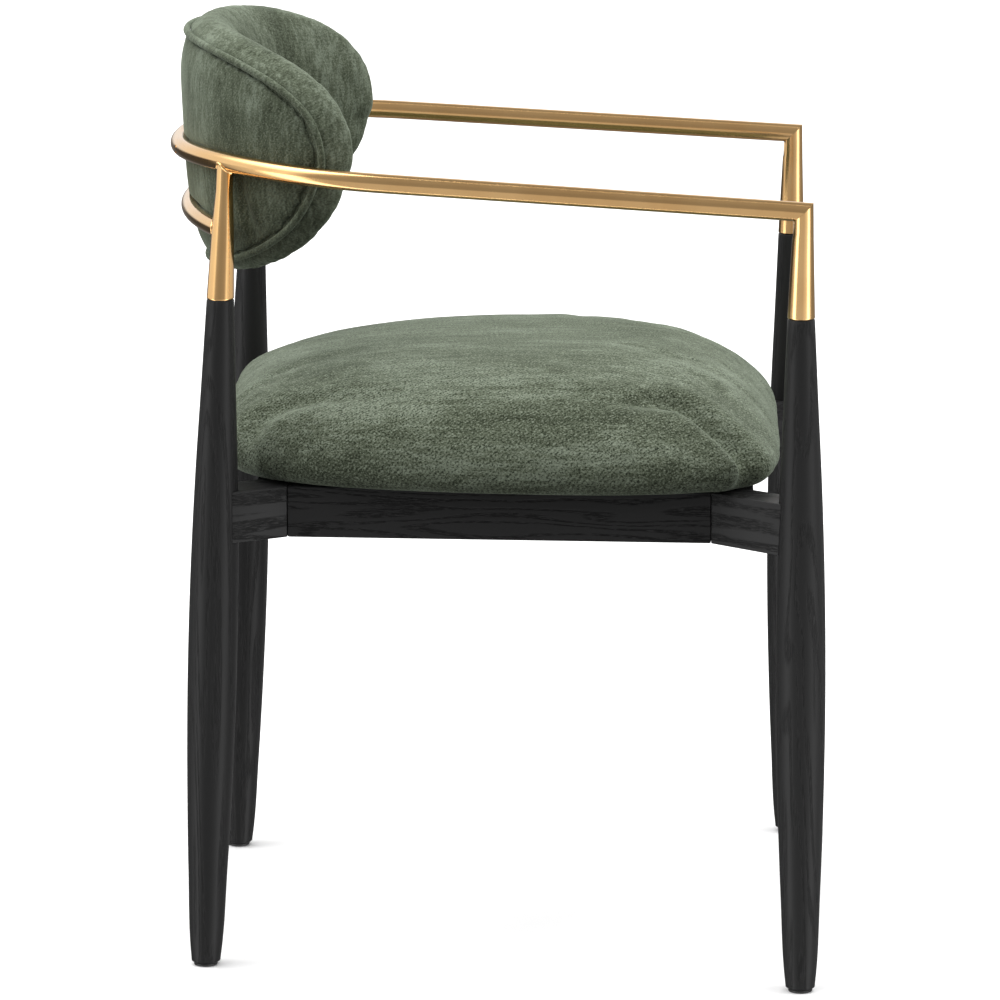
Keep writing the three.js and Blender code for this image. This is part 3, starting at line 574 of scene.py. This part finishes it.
def build_post(place, leg, name, side):
    sides = 48
    heights = np.array([0, 0.006, 0.012, 0.25, 0.5, 0.75, 0.9, 1.0])
    rings = post_rings(place, leg, side, heights, sides)
    upward = unit(rings[-1].mean(axis=0) - rings[0].mean(axis=0))
    if place == "front":
        corner, _, _, normal = mitre(side)
        rings[-1] = slide_to_plane(rings[-1], upward, corner - MITRE_GAP * normal, normal)
        rings[-2] = slide_to_plane(rings[-2] - 0.012 * upward, upward, corner - 0.012 * upward, normal)
        points, faces = rings.reshape(-1, 3), capped(len(rings), sides)
    else:
        start = rings[-1] - 0.022 * upward
        rings[-1] = rise_to_tube(start, upward, rail_path, RAIL_RADIUS)
        rings[-2] = rings[-1] - 0.003 * upward
        rings[-3] = start - 0.004 * upward
        bead, bead_faces = weld_bead(rings[-1], WELD_RADIUS, 3 + side)
        points = np.concatenate([rings.reshape(-1, 3), bead])
        faces = capped(len(rings), sides)
        faces += [tuple(rings.shape[0] * sides + i for i in face) for face in bead_faces]
    post = add_piece(f"brass_post_{place}_{name}", points, faces, brass, 50)
    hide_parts(f"post_{place}_{name}")
    return post


def build_lower_rail():
    sides = 36
    rings = tube_rings(lower_path, LOWER_RADIUS, sides)
    beads, bead_faces = [], []
    count = None
    for index, side in ((0, 1), (-1, -1)):
        axis = np.array([on_side(REAR["joint"], side), on_side(REAR_POST_TOP, side)])
        inward = unit(lower_path[5] - lower_path[0]) if side == 1 else unit(lower_path[-6] - lower_path[-1])
        share = (LOWER_HEIGHT - REAR["joint"][2]) / (REAR["top"][2] - REAR["joint"][2])
        radius = POST_BOTTOM + (POST_TOP["rear"] - POST_BOTTOM) * share
        start = rings[index] + 0.025 * inward
        rings[index] = rise_to_tube(start, -inward, axis, radius)
        step = 1 if side == 1 else -1
        for ring in range(1, 8):
            passed = ((rings[index + step * ring] - rings[index].mean(axis=0)) @ inward).min() < 0.002
            if passed:
                rings[index + step * ring] = rings[index] + 0.0015 * ring * inward
        bead, faces = weld_bead(rings[index], WELD_RADIUS, 11 + side)
        beads.append(bead)
        count = len(rings) * sides if count is None else count + len(bead)
        bead_faces += [tuple(count + i for i in face) for face in faces]
    points = np.concatenate([rings.reshape(-1, 3), *beads])
    rail = add_piece("brass_lower_rail", points, capped(len(rings), sides) + bead_faces, brass, 50)
    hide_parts("lower_back_rail")
    return rail


# ---------------------------------------------------------------- legs and feet
def build_leg(place, leg, name, side):
    sides, rings = 64, 90
    top = leg["joint"][2]
    base = GLIDE_HEIGHT + 0.0002
    heights = np.linspace(base, top - JOINT_GAP / 2, rings)
    heights[1] = base + 0.0012
    heights[-2] = heights[-1] - 0.0008
    radii = spline(LEG_SHARES, LEG_RADII, heights / top)
    radii[0] -= 0.0014
    radii[-1] -= 0.0007
    start, end = on_side(leg["foot"], side), on_side(leg["joint"], side)
    centres = start + (end - start) * (heights / top)[:, None]
    cosines, sines = circle(sides)
    flat = np.stack([cosines, sines, np.zeros(sides)], axis=1)
    points = centres[:, None] + radii[:, None, None] * flat[None]
    piece = add_piece(f"turned_leg_{place}_{name}", points.reshape(-1, 3), capped(rings, sides),
                      leg_wood, 40)
    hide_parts(f"leg_{place}_{name}")
    return piece


def build_foot(place, leg, name, side):
    """Nylon glide with a softened rim."""
    profile = [(0.0086, 0.0), (0.0096, 0.0003), (GLIDE_RADIUS, 0.0010), (GLIDE_RADIUS, 0.0022),
               (0.0096, GLIDE_HEIGHT), (0.004, GLIDE_HEIGHT)]
    sides = 40
    cosines, sines = circle(sides)
    centre = on_side(leg["foot"], side)
    rings = [centre + np.stack([r * cosines, r * sines, np.full(sides, z)], axis=1) for r, z in profile]
    piece = add_piece(f"foot_glide_{place}_{name}", np.concatenate(rings), capped(len(rings), sides),
                      nylon, 40)
    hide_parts(f"glide_{place}_{name}")
    return piece


# ---------------------------------------------------------------- seat frame
def corner_plan(leg, rail_end, rail_other, cross_y, degrees):
    """Plan lines of one corner block on the left side: its corners, its leg and its direction."""
    outer = np.array(rail_end)
    along = unit(np.array(rail_other) - outer)
    inward = np.array([-abs(along[1]), math.copysign(1, along[1]) * along[0]])
    middle = FRAME_TOP - FRAME_HEIGHT / 2
    centre = leg_line(leg, "foot", "joint", middle)[:2]
    forwards = math.copysign(1, centre[1])
    angle = math.radians(degrees)
    outwards = np.array([math.sin(angle), forwards * math.cos(angle)])
    leg_outer = outer + outwards * ((centre - outer) @ outwards)
    leg_inner = 2 * centre - leg_outer
    cross_outer = leg_inner - outwards * (leg_inner[1] - cross_y) / outwards[1]
    inner_end = outer + inward * RAIL_THICKNESS
    lap_side = inner_end + along * BLOCK_LAP
    cross_inner = np.array([cross_outer[0], cross_y - forwards * RAIL_THICKNESS])
    lap_cross = cross_inner - (BLOCK_LAP, 0)
    return {"corners": [outer, inner_end, lap_side, lap_cross, cross_inner, cross_outer],
            "half_width": np.linalg.norm(leg_outer - centre), "outwards": outwards,
            "cross_end": cross_outer[0], "leg_outer": leg_outer, "centre": centre}


def loft_plan(bottom, top, low, high):
    """A block between a lower and an upper plan outline with the same number of corners."""
    count = len(bottom)
    points = [(*p, low) for p in bottom] + [(*p, high) for p in top]
    area = sum(a[0] * b[1] - b[0] * a[1] for a, b in zip(bottom, bottom[1:] + bottom[:1]))
    faces = [tuple(reversed(range(count))), tuple(range(count, 2 * count))]
    faces += [(i, (i + 1) % count, count + (i + 1) % count, count + i) for i in range(count)]
    if area < 0:
        faces = [tuple(reversed(face)) for face in faces]
    return np.array(points), faces


def add_wood_block(name, bottom, top, material, node):
    low = FRAME_TOP - FRAME_HEIGHT
    points, faces = loft_plan(bottom, top, low, FRAME_TOP)
    piece = add_piece(name, points, faces, material)
    bevel = piece.modifiers.new("bevel", "BEVEL")
    bevel.width = WOOD_BEVEL
    bevel.segments = 3
    bevel.limit_method = "ANGLE"
    bevel.angle_limit = math.radians(35)
    bevel.use_clamp_overlap = True
    apply_modifiers(piece)
    piece.data.shade_smooth()
    piece.data.set_sharp_from_angle(angle=math.radians(25))
    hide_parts(node)
    return piece


def apply_modifiers(piece):
    depsgraph = bpy.context.evaluated_depsgraph_get()
    baked = bpy.data.meshes.new_from_object(piece.evaluated_get(depsgraph))
    piece.modifiers.clear()
    piece.data = baked


def build_seat_frame():
    pieces = []
    front, rear = np.array(SIDE_RAIL["front"]), np.array(SIDE_RAIL["rear"])
    along = unit(rear - front)
    inward = np.array([-along[1], along[0]])
    for name, side in SIDES.items():
        a, b = front + WOOD_SEAM * along, rear - WOOD_SEAM * along
        outline = [p * (side, 1) for p in (a, b, b + RAIL_THICKNESS * inward, a + RAIL_THICKNESS * inward)]
        pieces.append(add_wood_block(f"ash_side_rail_{name}", outline, outline, rail_wood,
                                     f"side_rail_{name}"))
    ends = (("front", "rear", FRONT_RAIL_Y, FRONT), ("rear", "front", REAR_RAIL_Y, REAR))
    for place, other, y, leg in ends:
        plan = corner_plan(leg, SIDE_RAIL[place], SIDE_RAIL[other], y, BLOCK_ANGLE[place])
        end = plan["cross_end"] - WOOD_SEAM
        inner = y - math.copysign(RAIL_THICKNESS, y)
        outline = [np.array(p) for p in ((-end, y), (end, y), (end, inner), (-end, inner))]
        pieces.append(add_wood_block(f"ash_{place}_rail", outline, outline, cross_wood, f"{place}_rail"))
        for name, side in SIDES.items():
            outlines = []
            for height in (FRAME_TOP - FRAME_HEIGHT, FRAME_TOP):
                outlines.append([p * (side, 1) for p in block_outline(plan, leg, height)])
            pieces.append(add_wood_block(f"ash_block_{place}_{name}", *outlines, block_wood,
                                         f"corner_block_{place}_{name}"))
    return pieces


def block_outline(plan, leg, height):
    """The block's plan at one height, its outer end hollowed to fit the leaning leg."""
    centre = leg_line(leg, "foot", "joint", height)[:2]
    share = height / leg["joint"][2]
    radius = float(spline(LEG_SHARES, LEG_RADII, np.array([share]))[0]) + 0.0001
    half = min(plan["half_width"] / radius, 0.96)
    reach = math.asin(half)
    back = -plan["outwards"]
    across = unit(plan["leg_outer"] - plan["centre"])
    arc = []
    for angle in np.linspace(-reach, reach, 13):
        arc.append(centre + radius * (math.cos(angle) * back + math.sin(angle) * across))
    return [*plan["corners"], *arc]


# ---------------------------------------------------------------- soft goods
def edge_list(mesh):
    edges = np.empty(len(mesh.edges) * 2, np.int64)
    mesh.edges.foreach_get("vertices", edges)
    return edges.reshape(-1, 2)


def read_points(mesh):
    points = np.empty(len(mesh.vertices) * 3, np.float64)
    mesh.vertices.foreach_get("co", points)
    return points.reshape(-1, 3)


def write_points(mesh, points):
    mesh.vertices.foreach_set("co", points.astype(np.float32).ravel())
    mesh.update()


def read_normals(mesh):
    normals = np.empty(len(mesh.vertices) * 3, np.float32)
    mesh.vertex_normals.foreach_get("vector", normals)
    return normals.reshape(-1, 3).astype(float)


def smoothed(values, edges, rounds):
    """Values averaged with their neighbours', again and again."""
    count = np.bincount(edges.ravel(), minlength=len(values))[:, None]
    for _ in range(rounds):
        total = np.zeros_like(values)
        for axis in range(values.shape[1]):
            total[:, axis] = (np.bincount(edges[:, 0], values[edges[:, 1], axis], len(values))
                              + np.bincount(edges[:, 1], values[edges[:, 0], axis], len(values)))
        values = 0.5 * values + 0.5 * total / count
    return values


def remesh(piece, voxel):
    modifier = piece.modifiers.new("remesh", "REMESH")
    modifier.mode = "VOXEL"
    modifier.voxel_size = voxel
    modifier.use_smooth_shade = True
    apply_modifiers(piece)
    edges = edge_list(piece.data)
    points = read_points(piece.data)
    write_points(piece.data, smoothed(points, edges, 3))


def simulate_cloth(piece, held, inset, cap, gain, slack):
    """Inflates the cover from a slightly smaller form, and keeps the folds that the cloth makes."""
    mesh = piece.data
    edges = edge_list(mesh)
    target = read_points(mesh)
    loose = np.clip(1 - held, 0, 1)[:, None]
    start = target - inset * loose * read_normals(mesh)
    write_points(mesh, start)
    group = piece.vertex_groups.new(name="held")
    for index in np.nonzero(held > 0.02)[0]:
        group.add([int(index)], float(held[index]), "REPLACE")
    cloth = piece.modifiers.new("cloth", "CLOTH")
    cloth.settings.quality = 5
    cloth.settings.mass = 0.3
    cloth.settings.tension_stiffness = 12
    cloth.settings.compression_stiffness = 12
    cloth.settings.bending_stiffness = 0.4
    cloth.settings.use_pressure = True
    cloth.settings.uniform_pressure_force = 4
    cloth.settings.shrink_min = -slack
    cloth.settings.vertex_group_mass = "held"
    cloth.settings.effector_weights.gravity = 0
    cloth.collision_settings.use_collision = False
    for frame_number in range(1, 21):
        scene.frame_set(frame_number)
    evaluated = piece.evaluated_get(bpy.context.evaluated_depsgraph_get())
    moved = read_points(evaluated.data)
    piece.modifiers.clear()
    piece.vertex_groups.clear()
    shift = moved - start
    length = np.linalg.norm(shift, axis=1, keepdims=True)
    shift *= np.minimum(1, cap / np.maximum(length, 1e-9))
    folds = shift - smoothed(shift, edges, 60)
    write_points(mesh, target + gain * loose * folds)
    scene.frame_set(1)


def subdivide(piece):
    modifier = piece.modifiers.new("fine", "SUBSURF")
    modifier.levels = modifier.render_levels = 1
    apply_modifiers(piece)


def press_fold(points, normals, path, width, depth, shoulder=0.15):
    """Pushes a soft valley into a surface along a path, with a raised shoulder beside it."""
    distance, _, share = nearest_on_path(points, np.asarray(path, float))
    fade = np.sin(np.clip(share, 0.02, 0.98) * math.pi) ** 0.6
    valley = np.exp(-((distance / width) ** 2))
    rim = np.exp(-(((distance - 2.1 * width) / width) ** 2))
    return points + (fade * depth * (shoulder * rim - valley))[:, None] * normals


def press_folds(piece, folds):
    """Presses the same folds into both sides of a cover."""
    points = read_points(piece.data) - ORIGIN
    normals = read_normals(piece.data)
    for path, width, depth in folds:
        for side in SIDES.values():
            mirrored = np.array(path) * (-side, 1, 1)
            points = press_fold(points, normals, mirrored, width, depth)
    write_points(piece.data, points + ORIGIN)


def clear_of_tube(points, path, radius, clearance):
    """Points pushed out of a tube, so that the cover is pressed in round it."""
    distance, place, _ = nearest_on_path(points, path)
    short = distance < radius + clearance
    away = (points - place) / np.maximum(distance, 1e-9)[:, None]
    points = points.copy()
    points[short] = place[short] + away[short] * (radius + clearance)
    return points


# ---------------------------------------------------------------- seat cushion
def soften(value, squareness):
    return np.sign(value) * np.abs(value) ** (2 / squareness)


def cushion_half(y):
    share = (y - CUSHION_FRONT) / (CUSHION_REAR - CUSHION_FRONT)
    straight = CUSHION_HALF["front"] + (CUSHION_HALF["rear"] - CUSHION_HALF["front"]) * share
    middle = (CUSHION_HALF["front"] + CUSHION_HALF["rear"]) / 2
    return straight + (CUSHION_HALF["middle"] - middle) * 4 * share * (1 - share)


def cushion_plan(angle, share):
    """Plan place at a share of the way from the middle to the outline."""
    middle = (CUSHION_FRONT + CUSHION_REAR) / 2
    half = (CUSHION_REAR - CUSHION_FRONT) / 2
    crown, edge = CUSHION_SQUARENESS["crown"], CUSHION_SQUARENESS["edge"]
    square = crown + (edge - crown) * share**16
    edge_y = middle + half * soften(np.sin(angle), square)
    x = share * cushion_half(edge_y) * soften(np.cos(angle), square)
    return x, middle + share * (edge_y - middle)


def cushion_rings():
    """Rings from the crown down over the side, under the overhang and in along the bottom."""
    angle = np.linspace(0, 2 * math.pi, 240, endpoint=False)
    rearward = (1 + np.sin(angle)) / 2
    widest = 0.427 + 0.004 * rearward
    first_power = 4.5 - 2.1 * rearward
    second_power = 0.76 - 0.38 * rearward
    rings = []
    for share in np.sin(np.linspace(0.02, 1, 40) * math.pi / 2):
        x, y = cushion_plan(angle, share)
        fall = (1 - np.minimum(share, 0.99999) ** first_power) ** second_power
        rings.append(np.stack([x, y, widest + (CUSHION_CROWN - widest) * fall], axis=1))
    for inset, drop in ((0.0004, 0.25), (0.0014, 0.5), (0.004, 0.76), (0.008, 0.93), (0.013, 1.02),
                        (0.020, 1.04), (0.028, 1.0), (0.06, 1.0), (0.12, 1.0), (0.19, 1.0)):
        x, y = cushion_plan(angle, 1 - inset / 0.22)
        rings.append(np.stack([x, y, widest + (CUSHION_BOTTOM - widest) * drop], axis=1))
    return np.array(rings)


def build_cushion():
    rings = cushion_rings()
    faces = capped(len(rings), rings.shape[1])
    faces = [tuple(reversed(face)) for face in faces]
    piece = add_piece("seat_cushion_cover", rings.reshape(-1, 3), faces, seat_velvet)
    remesh(piece, 0.005)
    held = np.clip((CUSHION_BOTTOM + 0.006 - read_points(piece.data)[:, 2]) / 0.004, 0, 1)
    simulate_cloth(piece, held, 0.010, 0.026, 0.3, 0.05)
    subdivide(piece)
    press_folds(piece, CUSHION_FOLDS)
    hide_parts("seat_cushion")
    return piece


# ---------------------------------------------------------------- backrest
back_angles = np.linspace(0, math.pi, 4001)
back_curve = np.stack([BACK_HALF * np.cos(back_angles), BEND_Y + BACK_DEPTH * np.sin(back_angles)], axis=1)
back_steps = np.concatenate([[0], np.cumsum(np.linalg.norm(np.diff(back_curve, axis=0), axis=1))])


def on_back(along, up, in_front):
    """A place on the backrest: along its width, up from its middle, in front of its seam."""
    reach = back_steps[-1] / 2 + np.asarray(along)
    angle = math.pi - np.interp(reach, back_steps, back_angles)
    x, y = BACK_HALF * np.cos(angle), BEND_Y + BACK_DEPTH * np.sin(angle)
    normal = unit(np.stack([np.cos(angle) / BACK_HALF, np.sin(angle) / BACK_DEPTH], axis=-1))
    flare = BACK_FLARE * np.clip(up / BACK_RISE["upper"], 0, 1.1) ** 2 * np.sin(angle)
    lean = BACK_LEAN * up + flare
    return np.stack([x - normal[..., 0] * in_front, y - normal[..., 1] * in_front + lean,
                     BACK_MIDDLE + up + 0 * x], axis=-1)


def oval(share, angle):
    """Place on the backrest's outline, wider in its upper half, with a fuller roll over its top."""
    above = np.clip(np.sin(angle), 0, 1)
    below = np.clip(-np.sin(angle), 0, 1)
    square = BACK_SQUARENESS["upper"] + (BACK_SQUARENESS["lower"] - BACK_SQUARENESS["upper"]) * below**0.5
    rise = np.where(np.sin(angle) > 0, BACK_RISE["upper"], BACK_RISE["lower"])
    beyond = max(0, share - 1)
    along = BACK_SPAN * share * (1 - BACK_TAPER * below**0.5) * soften(np.cos(angle), square)
    return along, rise * (share + beyond * BACK_TOP_ROLL * above) * soften(np.sin(angle), square)


def bent_oval(shares, depths, sides=180):
    """Rings of an oval disc bent round the back's plan; its fuller part thins towards the bottom."""
    angle = np.linspace(0, 2 * math.pi, sides, endpoint=False)
    rings = []
    for share, depth in zip(shares, depths):
        along, up = oval(share, angle)
        fullness = 1
        if depth > PAD_FULL_FROM:
            fullness = 1 - PAD_THINNING * np.clip(-up / BACK_RISE["lower"], 0, 1) ** 0.6
        rings.append(on_back(along, up, depth * fullness * np.ones(sides)))
    return np.array(rings)


def build_pad():
    """The front pad: it starts at the seam, rounds the rim and covers the front."""
    place = np.linspace(0, 1, len(PAD_SHARES))
    fine = np.linspace(0, 1, 60)
    shares = np.concatenate([[0.01, 0.3, 0.6], np.maximum(spline(place, PAD_SHARES, fine), 0.01)])
    depths = np.concatenate([[PAD_DEPTHS[0]] * 3, spline(place, PAD_DEPTHS, fine)])
    rings = bent_oval(shares, depths)
    piece = add_piece("back_pad_cover", rings.reshape(-1, 3), capped(len(rings), rings.shape[1]),
                      back_velvet)
    remesh(piece, 0.004)
    simulate_cloth(piece, held_at_seam(piece), 0.008, 0.024, 0.4, 0.04)
    subdivide(piece)
    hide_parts("back_pad")
    return piece


def held_at_seam(piece):
    """How firmly each point of a cover is held: fully near the seam, not at all away from it."""
    angle = np.linspace(0, 2 * math.pi, 241)
    along, up = oval(1.0, angle)
    seam = on_back(along, up, np.zeros(len(angle)))
    distance, _, _ = nearest_on_path(read_points(piece.data) - ORIGIN, seam)
    return np.clip((HELD_OUT - distance) / (HELD_OUT - HELD_IN), 0, 1)


def build_panel():
    """The rear panel, padded thinly, pressed in where the two rails and the posts lie against it."""
    shares = np.concatenate([[0.01, 0.4, 0.8, 0.93, 0.975, 0.988], np.linspace(0.965, 0.01, 44)])
    outer = np.linspace(0.96, 0.01, 44)
    bulge = -PANEL_BULGE * (1 - outer**2.6) ** 0.75 + 0.0005
    depths = np.concatenate([[0.0028] * 4, [0.0024, 0.001], bulge])
    rings = bent_oval(shares, depths)
    faces = [tuple(reversed(face)) for face in capped(len(rings), rings.shape[1])]
    piece = add_piece("back_panel_cover", rings.reshape(-1, 3), faces, back_velvet)
    remesh(piece, 0.004)
    simulate_cloth(piece, held_at_seam(piece), 0.006, 0.022, 0.35, 0.04)
    subdivide(piece)
    press_folds(piece, PANEL_FOLDS)
    points = read_points(piece.data) - ORIGIN
    edges = edge_list(piece.data)
    for _ in range(3):
        points = clear_of_tube(points, rail_path, RAIL_RADIUS, PRESS_GAP)
        points = clear_of_tube(points, lower_path, LOWER_RADIUS, PRESS_GAP)
        points = smoothed(points, edges, 2)
    points = clear_of_tube(points, rail_path, RAIL_RADIUS, LAST_PRESS_GAP)
    points = clear_of_tube(points, lower_path, LOWER_RADIUS, LAST_PRESS_GAP)
    write_points(piece.data, points + ORIGIN)
    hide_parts("back_panel")
    return piece


def build_piping():
    steps, sides = 420, 16
    angle = np.linspace(0, 2 * math.pi, steps, endpoint=False)
    along, up = oval(PIPING_SHARE, angle)
    path = on_back(along, up, np.full(steps, PIPING_DEPTH))
    closed = np.concatenate([path[-1:], path, path[:1]])
    tangents = unit(closed[2:] - closed[:-2])
    inward = unit(on_back(along, up, np.full(steps, 0.01)) - path)
    across = unit(np.cross(tangents, inward))
    inward = np.cross(across, tangents)
    cosines, sines = circle(sides)
    ring = across[:, None] * cosines[None, :, None] + inward[:, None] * sines[None, :, None]
    pucker = 1 + 0.04 * np.sin(47 * angle) * np.sin(29 * angle)
    points = path[:, None] + (PIPING_RADIUS * pucker)[:, None, None] * ring
    piece = add_piece("back_seam_piping", points.reshape(-1, 3), ring_faces(steps, sides, loop=True),
                      back_velvet)
    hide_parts("back_piping")
    return piece


# ---------------------------------------------------------------- assembly
def finish_hidden_parts():
    """Better finishes for the frame's own parts that stay in view."""
    finishes = {"leg_stud": steel, "leg_bolt": steel, "seat_screw": steel, "back_bolt": brass,
                "seat_board": plywood, "back_core": plywood, "seat_dust_cover": lining}
    for name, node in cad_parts.items():
        for start, material in finishes.items():
            if name.startswith(start):
                node.data.materials.clear()
                node.data.materials.append(material)


def face_outwards(piece):
    """Turns a closed piece's faces outwards if its signed volume is negative."""
    mesh = piece.data
    mesh.calc_loop_triangles()
    corners = np.empty(len(mesh.loop_triangles) * 3, np.int64)
    mesh.loop_triangles.foreach_get("vertices", corners)
    a, b, c = read_points(mesh)[corners.reshape(-1, 3)].transpose(1, 0, 2)
    if np.einsum("ij,ij->i", a, np.cross(b, c)).sum() < 0:
        mesh.flip_normals()


make_camera()
make_studio()
make_floor()
add_soft_sun("sun_above", (0.05, 0.1, 1.0), 1.9, 70)
add_soft_sun("sun_rear", (-0.1, 1.0, 0.6), 1.25, 45)
add_soft_sun("sun_front", (-0.12, -1.0, 0.6), 1.15, 45)

rail_path = make_rail_path()
lower_path = make_lower_path()
finish_hidden_parts()
wooden, metal, soft = [], [], []
for place, leg in (("front", FRONT), ("rear", REAR)):
    for name, side in SIDES.items():
        wooden.append(build_leg(place, leg, name, side))
        metal.append(build_post(place, leg, name, side))
        foot = build_foot(place, leg, name, side)
        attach(foot, "root")
metal += [build_arm_rail(), build_lower_rail()]
wooden += build_seat_frame()
soft += [build_cushion(), build_pad(), build_panel(), build_piping()]
for slot, pieces in (("black_ash", wooden), ("satin_brass", metal), ("green_velvet", soft)):
    for piece in pieces:
        face_outwards(piece)
        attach(piece, "root")

scene.view_settings.view_transform = "Standard"
